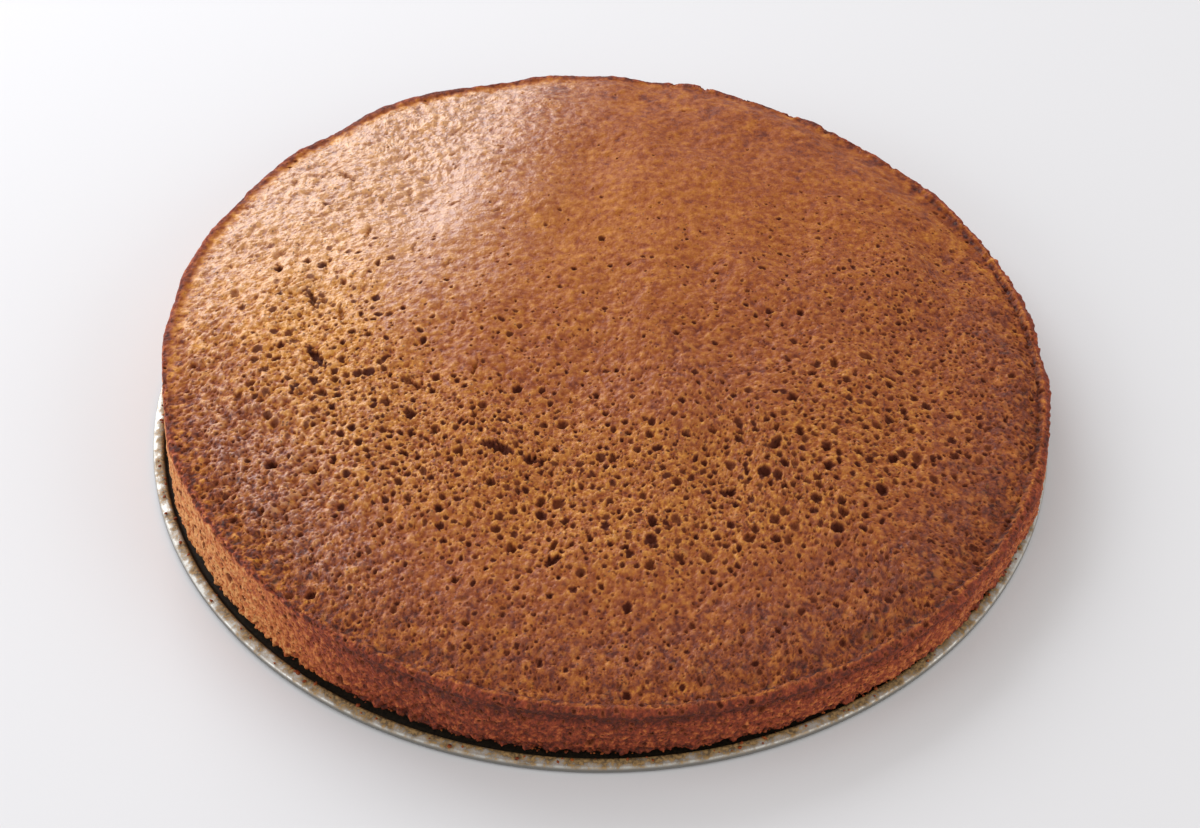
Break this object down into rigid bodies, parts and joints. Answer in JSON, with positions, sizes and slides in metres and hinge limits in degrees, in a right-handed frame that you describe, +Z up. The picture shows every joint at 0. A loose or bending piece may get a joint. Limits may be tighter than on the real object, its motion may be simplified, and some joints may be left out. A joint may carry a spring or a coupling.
{
  "type": "carrot cake",
  "caption": "Plain round carrot cake, uncut and without icing, on the thin steel base of its springform tin: a low crusty dome with open pores and an uneven rim.",
  "frame": {"origin": "on the ground, under the middle of the tin's base", "axes": "+Z up, +Y to the back of the picture's view, +X to its right, where the cake is thinnest"},
  "size_m": [0.26, 0.26, 0.0399],
  "materials": {
    "crumb": "baked golden brown crust over open orange-brown crumb",
    "tin": "worn tinned steel sheet with baked-on brown residue"
  },
  "bodies": {
    "root": {"cake": "crumb", "tin_base": "tin"}
  },
  "joints": []
}
